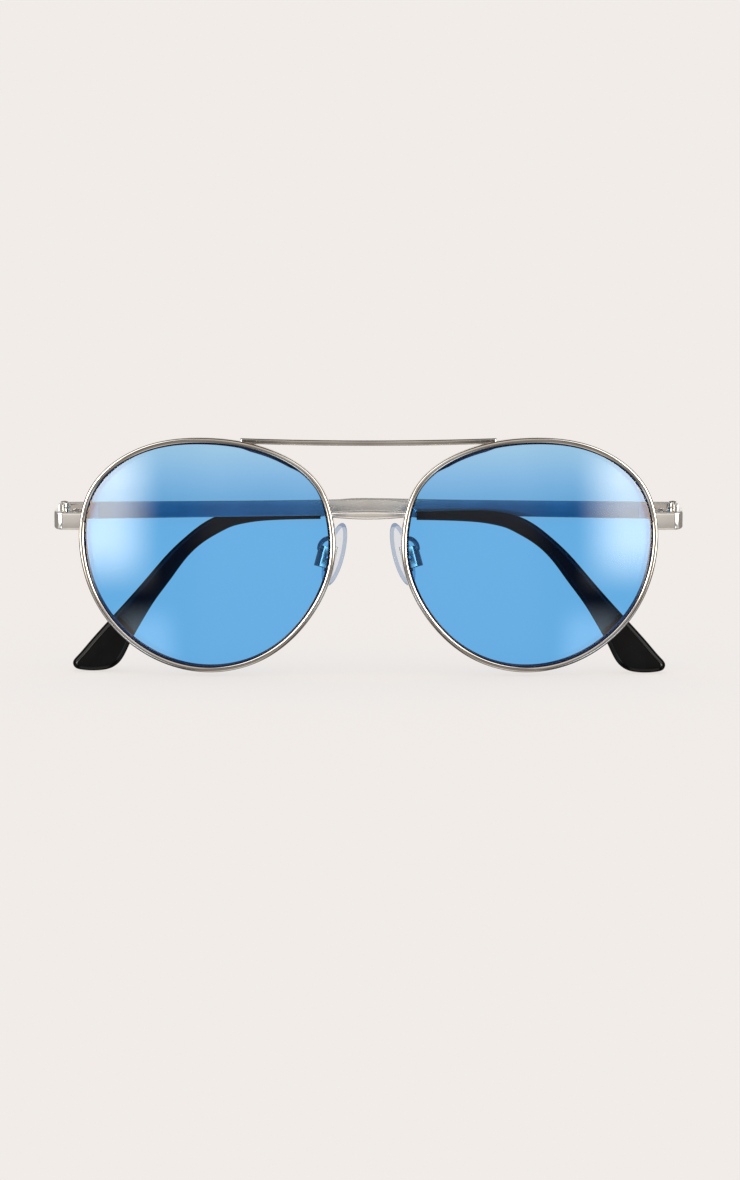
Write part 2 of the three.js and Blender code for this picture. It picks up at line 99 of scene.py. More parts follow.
# Endpiece
STRAP_HEIGHT = 4.0
STRAP_THICKNESS = 1.1
STRAP_Z = 34.9
STRAP_START_X = -65.5
STRAP_FRONT_Y = 1.85
STRAP_OUTER_X = -72.5
STRAP_END_Y = 7.1
STRAP_CORNER = 2.3
STRAP_RISE = 0.18  # how steeply it climbs towards the hinge
STRAP_ROUND = 0.45
STRAP_CROWN = 0.4  # how much thinner it is at its edges

# Temple, along x from the hinge's axis, with z as in the front
TEMPLE_THICKNESS = 1.0
TEMPLE_ROUND = 0.28
TEMPLE_Y = 1.7
TEMPLE_START = 0.25
TIP_START = 81.2
TEMPLE_TOP = [
    (TEMPLE_START, 38.95), (30, 39.2), (59, 39.55), (70, 39.75), (76.5, 39.5), (79.6, 38.6),
    (TIP_START, 37.1),
]
TEMPLE_BOTTOM = [
    (TIP_START, 35.4), (76, 35.8), (70, 35.95), (59, 35.85), (30, 35.4), (TEMPLE_START, 34.95),
]
CORE_ROUTE = [(80, 36.1), (92, 36.05), (99, 35.75), (105, 33.5), (112.3, 28.35), (118, 22.05)]
CORE_HEIGHT = 1.0
CORE_THICKNESS = 0.8
CORE_ROUND = 0.25
TIP_THICKNESS = 2.8
TIP_ROUND = [(TIP_START, 0.75), (100, 0.8), (110, 1.3)]  # of its edges, from the thin end on
TIP_OUTLINE = [
    (TIP_START, 36.95), (90, 37.15), (97, 37.2), (102.5, 36.45), (107, 34.75), (112, 31.15), (116, 27.45),
    (121, 21.75), (125.1, 17.05), (130.5, 11.1), (134.8, 6.3), (137.66, 3), (138.65, 1.4), (138.2, 0.35),
    (136.7, -0.2), (134.3, -0.4), (132, -0.3), (129.9, 0.15), (127.8, 1.6), (126.6, 3.4), (125.3, 6.1),
    (122.7, 10.85), (119.4, 16.15), (115.9, 20.85), (112.5, 25.45), (109.5, 28.5), (106.6, 30.55),
    (104, 32), (102.05, 32.95), (99.6, 33.65), (97.2, 34.1), (91.5, 34.6), (TIP_START, 34.85),
]
FOLD = {"right": math.radians(-1.2), "left": math.radians(0.95)}

# Nose pad, in the frame of the pad: x towards the nose, y back, z along the pad
PAD_CENTRE = np.array([-7.8, 6, 27])
PAD_SPLAY = math.radians(30)
PAD_TILT = math.radians(17)
PAD_SIZE = (1.8, 8, 15)
PAD_BOX_BACK = -3.9
ARM_RADIUS = 0.55

# Screws
HINGE_SCREW = {"radius": 0.5, "head": 0.9, "dome": 0.4}
CLOSING_SCREW = {"radius": 0.45, "head": 0.75, "dome": 0.4}
PAD_SCREW = {"radius": 0.35, "head": 0.65, "dome": 0.35}
SLOT_DEPTH = 0.16
SLOT_WIDTH = 0.28  # of the head's radius


# ---- Node trees ------------------------------------------------------------------------------
class Tree:
    """The node tree of a material or world, emptied and built up again."""

    def __init__(self, owner):
        owner.use_nodes = True
        self.tree = owner.node_tree
        self.tree.nodes.clear()

    def node(self, kind, inputs=None, **settings):
        made = self.tree.nodes.new("ShaderNode" + kind)
        for name, value in settings.items():
            setattr(made, name, value)
        for key, value in (inputs or {}).items():
            self.set(made.inputs[key], value)
        return made

    def set(self, socket, value):
        if isinstance(value, bpy.types.NodeSocket):
            self.tree.links.new(value, socket)
        else:
            socket.default_value = value

    def math(self, operation, first, second=0.0):
        return self.node("Math", {0: first, 1: second}, operation=operation).outputs[0]

    def between(self, value, low, high, to_low=0.0, to_high=1.0, smooth=False):
        """The value mapped from low..high to to_low..to_high, and held there outside."""
        ends = {"Value": value, "From Min": low, "From Max": high, "To Min": to_low, "To Max": to_high}
        kind = "SMOOTHSTEP" if smooth else "LINEAR"
        return self.node("MapRange", ends, interpolation_type=kind).outputs[0]

    def mix(self, factor, first, second):
        """A mix of two colours."""
        made = self.node("Mix", data_type="RGBA")
        for index, value in ((0, factor), (6, first), (7, second)):
            self.set(made.inputs[index], value)
        return made.outputs[2]

    def noise(self, scale, detail=3.0, stretch=(1, 1, 1)):
        """Noise over the object, whose features are about 1 / scale mm across."""
        where = self.node("TexCoord").outputs["Object"]
        size = [scale / MM * factor for factor in stretch]
        spread = self.node("Mapping", {"Vector": where, "Scale": size}).outputs[0]
        return self.node("TexNoise", {"Vector": spread, "Scale": 1.0, "Detail": detail}).outputs["Fac"]

    def bump(self, height, distance, under=None):
        made = self.node("Bump", {"Height": height, "Distance": distance, "Strength": 1.0})
        if under:
            self.set(made.inputs["Normal"], under)
        return made.outputs[0]

    def finish(self, shader, kind="OutputMaterial"):
        self.tree.links.new(shader.outputs[0], self.node(kind).inputs["Surface"])


def grey(value):
    return (value, value, value, 1)


# ---- Materials -------------------------------------------------------------------------------
def metal(name, light, dark, smooth, rough, scratch=0.0000015, wave=0.0, metallic=1.0):
    """Polished metal: its tone and gloss wander a little, fine scratches run over it, and it may be wavy."""
    material = bpy.data.materials.new(name)
    tree = Tree(material)
    tone = tree.mix(tree.between(tree.noise(0.12), 0.35, 0.65), light, dark)
    gloss = tree.between(tree.noise(0.9, 5), 0.3, 0.7, smooth, rough)
    scratches = tree.noise(2.5, 4, stretch=(0.25, 1, 1))
    normal = tree.bump(scratches, scratch)
    if wave:
        normal = tree.bump(tree.noise(0.5, 2, stretch=(0.35, 1, 1)), wave, under=normal)
    shader = tree.node("BsdfPrincipled", {
        "Base Color": tone, "Metallic": metallic, "Roughness": gloss, "Normal": normal,
    })
    tree.finish(shader)
    return material


def black_plastic():
    material = bpy.data.materials.new("black_plastic")
    tree = Tree(material)
    patches = tree.between(tree.noise(0.3), 0.4, 0.6)
    tone = tree.mix(patches, (0.0015, 0.0015, 0.0018, 1), (0.003, 0.003, 0.0036, 1))
    gloss = tree.between(tree.noise(1.2, 4), 0.3, 0.7, 0.06, 0.16)
    shader = tree.node("BsdfPrincipled", {
        "Base Color": tone, "Roughness": gloss, "IOR": 1.32,
        "Normal": tree.bump(tree.noise(0.5, 2), 0.000004),
    })
    tree.finish(shader)
    return material


def lens_tint():
    """Clear tinted plastic. The tint is a little lighter towards the top of the lens, and a little darker
    just above the temples behind it, which is painted shade.
    """
    material = bpy.data.materials.new("lens_tint")
    tree = Tree(material)
    where = tree.node("TexCoord").outputs["Object"]
    height = tree.node("SeparateXYZ", {"Vector": where}).outputs["Z"]
    cloud = tree.math("MULTIPLY", tree.noise(0.05, 2), 0.003)
    low, high = 0.036, 0.0575
    ramp = tree.node("ValToRGB", {"Fac": tree.between(tree.math("ADD", height, cloud), low, high)})
    # The stop at 41.5 mm is darker than its neighbours: painted shade of the temples, which cross behind the
    # lens just below.
    stops = [
        (0.036, (0.4, 0.728, 1, 1)), (0.0415, (0.41, 0.695, 0.94, 1)), (0.0475, (0.51, 0.765, 0.99, 1)),
        (0.053, (0.6, 0.825, 1, 1)), (0.0575, (0.66, 0.85, 1, 1)),
    ]
    for _ in range(len(stops) - 2):
        ramp.color_ramp.elements.new(0.5)
    for element, (level, colour) in zip(ramp.color_ramp.elements, stops):
        element.position = (level - low) / (high - low)
        element.color = colour
    tint = ramp.outputs["Color"]
    clear = tree.node("BsdfTransparent", {"Color": tint})
    ripple = tree.bump(tree.noise(0.08, 1), 0.000002)
    gloss = tree.node("BsdfGlossy", {"Color": (1, 0.8, 0.62, 1), "Roughness": 0.02, "Normal": ripple})
    grazing = tree.math("POWER", tree.node("LayerWeight", {"Blend": 0.5}).outputs["Facing"], 5.0)
    share = tree.between(grazing, 0.0, 1.0, 0.03, 1.0)
    tree.finish(tree.node("MixShader", {0: share, 1: clear.outputs[0], 2: gloss.outputs[0]}))
    return material


def ground_edge_and_shade():
    """The ground edge of the lens, where the tint is seen through its whole width. Where the edge is drawn
    wider, its dark tone is painted shade.
    """
    material = bpy.data.materials.new("ground_edge_and_shade")
    tree = Tree(material)
    tone = tree.mix(tree.noise(0.4), (0.004, 0.014, 0.05, 1), (0.01, 0.035, 0.11, 1))
    gloss = tree.between(tree.noise(3), 0.3, 0.7, 0.15, 0.35)
    tree.finish(tree.node("BsdfPrincipled", {"Base Color": tone, "Roughness": gloss, "IOR": 1.5}))
    return material


def clear_vinyl(name, face, edge):
    """Clear soft plastic, faintly milky, whose tint is stronger where it is seen edge on."""
    material = bpy.data.materials.new(name)
    tree = Tree(material)
    facing = tree.node("LayerWeight", {"Blend": 0.35}).outputs["Facing"]
    margin = tree.between(facing, 0.5, 0.95, smooth=True)
    clear = tree.node("BsdfTransparent", {"Color": tree.mix(margin, face, edge)})
    cloud = tree.mix(tree.noise(0.4), (0.72, 0.80, 0.92, 1), (0.84, 0.89, 0.96, 1))
    surface = tree.node("BsdfPrincipled", {
        "Base Color": cloud, "Roughness": tree.between(tree.noise(0.8), 0.3, 0.7, 0.08, 0.2),
        "Normal": tree.bump(tree.noise(0.6, 2), 0.00001),
    })
    share = tree.between(margin, 0.0, 1.0, 0.05, 0.3)
    tree.finish(tree.node("MixShader", {0: share, 1: clear.outputs[0], 2: surface.outputs[0]}))
    return material


CHROME = metal("warm_chrome", (0.88, 0.85, 0.81, 1), (0.80, 0.765, 0.725, 1), 0.05, 0.13)
# A lighter copy of the chrome with a diffuse share: painted highlights on the endpieces and the bridge.
HIGHLIGHT_CHROME = metal("painted_highlight_chrome", (0.95, 0.93, 0.90, 1), (0.86, 0.83, 0.79, 1), 0.04, 0.12, metallic=0.75)
WIRE = metal("rim_chrome", (0.76, 0.725, 0.68, 1), (0.62, 0.585, 0.545, 1), 0.05, 0.12)
SATIN = metal("satin_metal", (0.66, 0.635, 0.60, 1), (0.57, 0.545, 0.51, 1), 0.15, 0.2, metallic=0.6)
# A darker, duller copy of the chrome: painted shade on the hinges' front leaves, the closing blocks, and the
# nose pads' boxes and arms.
SHADED = metal("shaded_metal", (0.58, 0.57, 0.56, 1), (0.44, 0.43, 0.42, 1), 0.12, 0.2, metallic=0.65)
DRAWN = metal("drawn_chrome", (0.66, 0.63, 0.59, 1), (0.52, 0.49, 0.46, 1), 0.08, 0.16, wave=0.00003)
STEEL = metal("turned_steel", (0.66, 0.65, 0.64, 1), (0.50, 0.49, 0.48, 1), 0.18, 0.34)
BLACK = black_plastic()
LENS = lens_tint()
# The dark ground edge of the lens, which is also painted shade where it is drawn wider.
LENS_EDGE = ground_edge_and_shade()
VINYL = clear_vinyl("clear_vinyl", (0.95, 0.965, 0.985, 1), (0.5, 0.58, 0.7, 1))
VINYL_EDGE = clear_vinyl("thick_vinyl", (0.56, 0.64, 0.76, 1), (0.3, 0.38, 0.5, 1))


# ---- Lines and sections ------------------------------------------------------------------------
def spline(points, spacing, closed=False):
    """Evenly spaced points of the smooth curve through the given ones."""
    points = np.array(points, float)
    if closed:
        points = np.vstack([points, points[:1]])
    chords = np.linalg.norm(np.diff(points, axis=0), axis=1)
    count = len(points)
    system = np.eye(count)
    turn = np.zeros_like(points)
    slopes = np.diff(points, axis=0) / chords[:, None]
    for i in range(1, count - 1):
        before, after = chords[i - 1], chords[i]
        system[i, i - 1:i + 2] = before, 2 * (before + after), after
        turn[i] = 6 * (slopes[i] - slopes[i - 1])
    if closed:
        system[0, -1] = -1
        system[-1, [0, 1]] = 2 * chords[0], chords[0]
        system[-1, -2] = chords[-1]
        system[-1, -1] = 2 * chords[-1]
        turn[-1] = 6 * (slopes[0] - slopes[-1])
    bend = np.linalg.solve(system, turn)
    stretches = []
    for i, chord in enumerate(chords):
        b = np.linspace(0, 1, 40, endpoint=False)[:, None]
        a = 1 - b
        curve = ((a ** 3 - a) * bend[i] + (b ** 3 - b) * bend[i + 1]) * chord ** 2 / 6
        stretches.append(a * points[i] + b * points[i + 1] + curve)
    dense = np.vstack([*stretches, points[-1:]])
    length = np.concatenate([[0], np.cumsum(np.linalg.norm(np.diff(dense, axis=0), axis=1))])
    places = np.linspace(0, length[-1], round(length[-1] / spacing) + 1)
    even = np.stack([np.interp(places, length, column) for column in dense.T], axis=-1)
    return even[:-1] if closed else even


def normals(line, closed=True):
    """For each point of a line in a plane, its unit normal on the left, longer at a corner."""
    ahead = np.roll(line, -1, axis=0) - line
    ahead /= np.linalg.norm(ahead, axis=1)[:, None]
    if not closed:
        ahead[-1] = ahead[-2]
    behind = np.roll(ahead, 1, axis=0)
    if not closed:
        behind[0] = ahead[0]
    left = [np.stack([-way[:, 1], way[:, 0]], axis=-1) for way in (ahead, behind)]
    dot = np.sum(left[0] * left[1], axis=1)[:, None]
    return (left[0] + left[1]) / (1 + dot)


def rounded_box(width, height, radius, steps=5):
    """A rectangle with rounded corners, counter-clockwise."""
    corners = []
    for quarter, (x, y) in enumerate(((1, 1), (-1, 1), (-1, -1), (1, -1))):
        for turn in np.linspace(quarter, quarter + 1, steps + 1) * math.pi / 2:
            middle = (x * (width / 2 - radius), y * (height / 2 - radius))
            corners.append((middle[0] + radius * math.cos(turn), middle[1] + radius * math.sin(turn)))
    return np.array(corners)


# ---- Pieces --------------------------------------------------------------------------------------
def row(points, mirror):
    """Points of the front's frame, in mm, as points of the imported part, in metres."""
    return (np.asarray(points, float) * (mirror, 1, 1) + ORIGIN) * MM


def from_rim(points):
    """Points of the rim's plane, as points of the front's frame."""
    x, y, z = np.asarray(points, float).T
    turned = [x * math.cos(WRAP) + y * math.sin(WRAP), y * math.cos(WRAP) - x * math.sin(WRAP), z]
    return np.stack(turned, axis=-1) + LENS_CENTRE


def from_temple(points, fold):
    """Points along the temple, x from the hinge's axis, as points of the front's frame."""
    x, y, z = np.asarray(points, float).T
    turned = [x * math.cos(fold) - y * math.sin(fold), x * math.sin(fold) + y * math.cos(fold), z]
    return np.stack(turned, axis=-1) + (HINGE[0], HINGE[1], 0)


PAD_TURN = np.array(Matrix.Rotation(PAD_SPLAY, 3, "Z") @ Matrix.Rotation(PAD_TILT, 3, "Y"))


def from_pad(points):
    return np.asarray(points, float) @ PAD_TURN.T + PAD_CENTRE


def loft(rings, closed=False):
    """A closed surface through rings of the same number of points: (points, faces)."""
    rings = np.asarray(rings)
    count, around = rings.shape[:2]
    faces = []
    for i in range(count if closed else count - 1):
        here, there = i * around, (i + 1) % count * around
        for j in range(around):
            k = (j + 1) % around
            faces.append((here + j, here + k, there + k, there + j))
    if not closed:
        faces.append(tuple(range(around))[::-1])
        faces.append(tuple(range((count - 1) * around, count * around)))
    return rings.reshape(-1, 3), faces


def join(*shapes):
    """Several (points, faces) as one."""
    points, faces = [], []
    for more_points, more_faces in shapes:
        start = sum(len(block) for block in points)
        points.append(more_points)
        faces += [tuple(start + corner for corner in face) for face in more_faces]
    return np.vstack(points), faces


def piece(name, shape, mirror, body, nodes, material, sharp=38):
    """A piece of the object from (points, faces) in the front's frame, which stands for CAD nodes."""
    points, faces = shape
    mesh = bpy.data.meshes.new(name)
    mesh.from_pydata([tuple(point) for point in row(points, mirror)], [], faces)
    edit = bmesh.new()
    edit.from_mesh(mesh)
    bmesh.ops.remove_doubles(edit, verts=edit.verts, dist=1e-7)
    bmesh.ops.recalc_face_normals(edit, faces=edit.faces)
    for face in edit.faces:
        face.smooth = True
    edit.to_mesh(mesh)
    edit.free()
    mesh.set_sharp_from_angle(angle=math.radians(sharp))
    made = bpy.data.objects.new(name, mesh)
    bpy.context.scene.collection.objects.link(made)
    mesh.materials.append(material)
    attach(made, body)
    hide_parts(*nodes)
    return made


def rim_path():
    return spline(RIM_OUTLINE, RIM_SPACING, closed=True)


def rim(side, mirror):
    """The eyewire: a rounded bar with a groove on its inner side, open at the closing block."""
    path = rim_path()
    split = max(
        (i for i in range(len(path)) if path[i, 0] < 0),
        key=lambda i: -abs(path[i, 1] + LENS_CENTRE[2] - RIM_SPLIT_HEIGHT),
    )
    path = np.roll(path, -split, axis=0)
    out = -normals(path)
    along = np.roll(path, -1, axis=0) - path
    along /= np.linalg.norm(along, axis=1)[:, None]
    ends = [path[0] + along[0] * RIM_SPLIT / 2, path[0] - along[0] * RIM_SPLIT / 2]
    path = np.vstack([ends[:1], path[1:], ends[1:]])
    out = np.vstack([out, out[:1]])
    outside = rounded_box(RIM_FACE, RIM_DEPTH, RIM_ROUND)
    inner = -RIM_FACE / 2
    half = GROOVE_WIDTH / 2
    split_at = len(outside) // 2
    groove = [(inner, half), (inner + GROOVE_DEPTH, half), (inner + GROOVE_DEPTH, -half), (inner, -half)]
    section = np.vstack([outside[:split_at], groove, outside[split_at:]])
    rings = []
    for (x, z), (away_x, away_z) in zip(path, out):
        rings.append([(x + r * away_x, y, z + r * away_z) for r, y in section])
    points, faces = loft(rings)
    shape = (from_rim(points), faces)
    piece(f"rim_{side}_wire", shape, mirror, "front", [f"rim_{side}"], WIRE)


def lens(side, mirror):
    """The lens: two spherical faces, a chamfer, and a tongue that sits in the rim's groove."""
    outline = rim_path()
    inwards = normals(outline)
    edge_drop = LENS_RADIUS - math.sqrt(LENS_RADIUS ** 2 - LENS_EDGE_RADIUS ** 2)

    def ring(inset, offset, share=1.0, flat=False):
        flat_ring = (outline + inwards * np.reshape(inset, (-1, 1))) * share
        distance = np.sum(flat_ring ** 2, axis=1)
        middle = 0 if flat else LENS_RADIUS - np.sqrt(LENS_RADIUS ** 2 - distance) - edge_drop
        return np.stack([flat_ring[:, 0], middle + offset + 0 * distance, flat_ring[:, 1]], axis=-1)

    half = LENS_THICKNESS / 2
    angle = np.degrees(np.arctan2(outline[:, 1], outline[:, 0]))
    # The dark edge is drawn wider at the upper nasal side, where it is a painted shadow line.
    face_inset = RIM_FACE / 2 + np.interp(angle, *zip(*EDGE_AND_SHADE_MARGIN))
    shares = np.linspace(0.03, 1, 18)
    face = [ring(face_inset, -half, share) for share in shares]
    back = [ring(face_inset, half, share) for share in shares[::-1]]
    before = [ring(LENS_SHOULDER, LENS_CHAMFER - half), ring(LENS_SHOULDER, -TONGUE_THICKNESS / 2, flat=True)]
    tongue = [ring(TONGUE_REACH, y, flat=True) for y in (-TONGUE_THICKNESS / 2, TONGUE_THICKNESS / 2)]
    behind = [ring(LENS_SHOULDER, TONGUE_THICKNESS / 2, flat=True), ring(LENS_SHOULDER, half - LENS_CHAMFER)]
    rings = [*face, *before, *tongue, *behind, *back]
    points, faces = loft(rings)
    shape = (from_rim(points), faces)
    made = piece(f"lens_{side}_tinted", shape, mirror, "front", [f"lens_{side}"], LENS, sharp=15)
    # The dark edge ring: the lens's own ground edge, and painted shade where it is drawn wider.
    made.data.materials.append(LENS_EDGE)
    around = len(outline)
    first, last = (len(face) - 1) * around, (len(rings) - len(back)) * around
    for i in range(first, last):
        made.data.polygons[i].material_index = 1


def bar(name, size, height_at, corner, material):
    """A bar across the middle, bowed forwards, with rounded ends that run into the rims."""
    end = size["half"] - np.array([0, 0.05, 0.15, BAR_END])
    stations = np.concatenate([-end, np.linspace(0.5 - size["half"], size["half"] - 0.5, 41), end[::-1]])
    rings = []
    for x in stations:
        from_end = min((size["half"] - abs(x)) / BAR_END, 1)
        shrink = 1 - BAR_TAPER * (1 - math.sqrt(1 - (1 - from_end) ** 2))
        section = rounded_box(size["depth"], height_at(x), min(corner, height_at(x) * 0.45))
        rise = 1 - (x / size["half"]) ** 2
        middle = (size["y"] - size["bow"] * rise, size["z"] - size["sag"] * rise)
        rings.append([(x, middle[0] + a * shrink, middle[1] + b * shrink) for a, b in section])
    piece(f"{name}_solid", loft(rings), 1, "front", [name], material)


def bridge_height(x):
    """Tallest in the middle, and spread a little where it is soldered to the rims."""
    share = abs(x) / BRIDGE["half"]
    waist = BRIDGE["height"] - (BRIDGE["height"] - BRIDGE_END_HEIGHT) * share ** 2
    return waist + 0.5 * max(0, (share - 0.88) / 0.12) ** 2


def endpiece(side, mirror):
    """The strap that turns back from the rim to the hinge."""
    middle = STRAP_CORNER - STRAP_THICKNESS / 2
    turn = np.linspace(0, math.pi / 2, 13)
    centre = (STRAP_OUTER_X + STRAP_CORNER, STRAP_FRONT_Y + STRAP_CORNER)
    path = [(STRAP_START_X, STRAP_FRONT_Y + STRAP_THICKNESS / 2, 0)]
    path += [(centre[0] - middle * math.sin(a), centre[1] - middle * math.cos(a), a) for a in turn]
    path += [(STRAP_OUTER_X + STRAP_THICKNESS / 2, y, math.pi / 2) for y in (STRAP_END_Y - 0.2, STRAP_END_Y)]
    rings = []
    for x, y, a in path:
        shrink = 0.88 if y == STRAP_END_Y else 1
        section = rounded_box(STRAP_THICKNESS, STRAP_HEIGHT, STRAP_ROUND)
        section[:, 0] *= 1 - STRAP_CROWN * np.abs(section[:, 1] * 2 / STRAP_HEIGHT) ** 2.2
        ring = [
            (x - s * shrink * math.sin(a), y - s * shrink * math.cos(a), STRAP_Z + h * shrink)
            for s, h in section
        ]
        rings.append([(px, py, pz + STRAP_RISE * (py - STRAP_FRONT_Y)) for px, py, pz in ring])
    nodes = [f"endpiece_{side}"]
    # The strap takes the lighter chrome, whose brightness is a painted highlight.
    piece(f"endpiece_{side}_strap", loft(rings), mirror, "front", nodes, HIGHLIGHT_CHROME)


def rounded_plate(outline, thickness, radius, cut_end=False, steps=7):
    """A plate with rounded edges, whose outline (x, z) runs clockwise. A cut end stays square."""
    radius = np.reshape(radius, (-1, 1))
    inwards = -normals(outline, closed=not cut_end)
    if cut_end:
        across = outline[-1] - outline[0]
        across /= np.linalg.norm(across)
        inwards[0], inwards[-1] = across, -across
    rings = []
    for turn in np.linspace(0, math.pi, 2 * steps + 1):
        moved = outline + inwards * radius * (1 - math.sin(turn))
        depth = np.full(len(moved), -thickness / 2 * math.cos(turn))
        rings.append(np.stack([moved[:, 0], depth, moved[:, 1]], axis=-1))
    return loft(rings)


def temple(side, mirror):
    """The flat strip, with the wire core that runs on inside the tip."""
    top = spline(TEMPLE_TOP, 1.0)
    bottom = spline(TEMPLE_BOTTOM, 1.0)
    strip = rounded_plate(np.vstack([top, bottom]), TEMPLE_THICKNESS, TEMPLE_ROUND, steps=3)
    route = spline(CORE_ROUTE, 1.0)
    up = normals(route, closed=False)
    section = rounded_box(CORE_THICKNESS, CORE_HEIGHT, CORE_ROUND, 2)
    core = loft([[(x + b * ux, a, z + b * uz) for a, b in section] for (x, z), (ux, uz) in zip(route, up)])
    points, faces = join(strip, core)
    placed = from_temple(points + (0, TEMPLE_Y, 0), FOLD[side])
    name, nodes = f"temple_{side}_strip", [f"temple_{side}"]
    piece(name, (placed, faces), mirror, f"{side}_temple", nodes, SATIN)


def temple_tip(side, mirror):
    """The plastic sleeve, whose flat faces turn over into round edges."""
    outline = spline(TIP_OUTLINE, 0.5)
    radius = np.interp(outline[:, 0], *zip(*TIP_ROUND))
    points, faces = rounded_plate(outline, TIP_THICKNESS, radius, cut_end=True)
    placed = from_temple(points + (0, TEMPLE_Y, 0), FOLD[side])
    name, nodes = f"temple_tip_{side}_sleeve", [f"temple_tip_{side}"]
    piece(name, (placed, faces), mirror, f"{side}_temple", nodes, BLACK)


def nose_pad(side, mirror):
    """A soft oval cushion, pillowed on both sides."""
    half, wide, tall = (size / 2 for size in PAD_SIZE)
    around = np.linspace(0, 2 * math.pi, 48, endpoint=False)
    across = wide * np.cos(around) * (1 - 0.08 * np.sin(around))
    along = tall * np.sin(around)
    rings = []
    for turn in np.linspace(0.02, math.pi - 0.02, 25):
        reach = math.sin(turn) ** 0.8
        depth = half * math.copysign(abs(math.cos(turn)) ** 0.75, math.cos(turn))
        rings.append([(depth, reach * y, reach * z) for y, z in zip(across, along)])
    points, faces = loft(rings)
    name, nodes = f"nose_pad_{side}_cushion", [f"nose_pad_{side}"]
    made = piece(name, (from_pad(points), faces), mirror, f"{side}_pad", nodes, VINYL)
    made.data.materials.append(VINYL_EDGE)
    # The middle third of its faces is the edge, where the plastic is seen through its whole width
    for i in range(8 * len(around), 16 * len(around)):
        made.data.polygons[i].material_index = 1


def pad_arm(side, mirror):
    """The wire from the back of the rim, out behind the lens and back to the pad's box."""
    end = from_pad([(PAD_BOX_BACK - ARM_RADIUS + 0.15, 0, 0.2)])[0]
    knots = [(-8.3, -1.75, 31.3), (-8.8, 0.5, 31.2), (-10.4, 2.4, 30.5), end + (0.15, -0.8, 0.9), end]
    route = spline(knots, 0.4)
    around = np.linspace(0, 2 * math.pi, 16, endpoint=False)
    rings = []
    for centre, way in zip(route, np.gradient(route, axis=0)):
        way = Vector(way).normalized()
        side_way = way.cross(Vector((0, 0, 1))).normalized()
        arms = np.array([side_way, side_way.cross(way)]) * ARM_RADIUS
        rings.append([centre + (math.cos(a), math.sin(a)) @ arms for a in around])
    # The pad arm takes the darker copy of the chrome, as painted shade.
    piece(f"pad_arm_{side}_wire", loft(rings), mirror, "front", [f"pad_arm_{side}"], SHADED)


def screw_shape(size, length):
    """An upright screw from z = 0, with a domed head above its shaft."""
    radius, head, dome = size["radius"], size["head"], size["dome"]
    chamfer, lip, top = 0.08, 0.06, 0.02
    profile = [(radius - chamfer, 0), (radius, chamfer), (radius, length)]
    profile += [(head - lip, length), (head, length + lip)]
    for turn in np.linspace(0.1, 1, 6) * math.pi / 2:
        profile.append((head * math.cos(turn) + top, length + lip + (dome - lip) * math.sin(turn)))
    around = np.linspace(0, 2 * math.pi, 32, endpoint=False)
    return loft([[(r * math.cos(a), r * math.sin(a), z) for a in around] for r, z in profile])


def cut_slot(made, centre, head, depth, axis, across):
    """Cuts a screwdriver's slot into the head whose top is at the centre given."""
    axis, across = Vector(axis).normalized(), Vector(across).normalized()
    along = axis.cross(across)
    cutter = bpy.data.meshes.new("slot_cutter")
    edit = bmesh.new()
    bmesh.ops.create_cube(edit, size=1)
    place = Matrix((across * head * SLOT_WIDTH, along * head * 2.4, axis * depth * 2)).transposed().to_4x4()
    place.translation = centre
    edit.transform(place)
    bmesh.ops.recalc_face_normals(edit, faces=edit.faces)
    edit.to_mesh(cutter)
    edit.free()
    tool = bpy.data.objects.new("slot_cutter", cutter)
    bpy.context.scene.collection.objects.link(tool)
    change = made.modifiers.new("slot", "BOOLEAN")
    change.operation = "DIFFERENCE"
    change.solver = "EXACT"
    change.object = tool
    bpy.context.view_layer.update()
    cut = bpy.data.meshes.new_from_object(made.evaluated_get(bpy.context.evaluated_depsgraph_get()))
    made.modifiers.clear()
    made.data = cut
    cut.set_sharp_from_angle(angle=math.radians(38))
    bpy.data.objects.remove(tool)


def screw(node, size, axis=(0, 0, 1), pivot=None):
    """A screw that stands for a CAD node, along the axis through the pivot, with its head at the far end."""
    if pivot is None:
        pivot = sum(np.array(corner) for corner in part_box(node)) / 2
    axis = np.array(axis)
    shown = frame["nodes"][node]
    corners = np.array([shown.matrix_world @ vertex.co for vertex in shown.data.vertices])
    along = (corners - pivot) @ axis / MM
    full = along.max() - along.min()
    middle = np.array(pivot) / MM - ORIGIN + axis * (along.max() + along.min()) / 2
    points, faces = screw_shape(size, full - size["dome"])
    turn = Vector((0, 0, 1)).rotation_difference(Vector(axis)).to_matrix()
    placed = (points - (0, 0, full / 2)) @ np.array(turn).T + middle
    made = piece(f"{node}_slotted", (placed, faces), 1, "front", [node], STEEL)
    top = Vector(row([middle + axis * full / 2], 1)[0])
    across = (1, 0.4, 0) if axis[2] > 0.5 else (axis[1], -axis[0], 0.6)
    cut_slot(made, top, size["head"] * MM, SLOT_DEPTH * MM, axis, across)


def soften(node, material, width=0.1):
    """Gives a CAD node that stays its material, small rounded edges and smooth round faces."""
    shown = frame["nodes"][node]
    for slot in shown.material_slots:
        slot.link = "OBJECT"
        slot.material = material
    weld = shown.modifiers.new("weld", "WELD")
    weld.merge_threshold = 1e-6
    bevel = shown.modifiers.new("bevel", "BEVEL")
    bevel.width = width * MM
    bevel.segments = 3
    bevel.limit_method = "ANGLE"
    bevel.angle_limit = math.radians(35)
    bevel.use_clamp_overlap = True
    smooth = shown.modifiers.new("smooth", "NODES")
    smooth.node_group = SMOOTH_SHADING


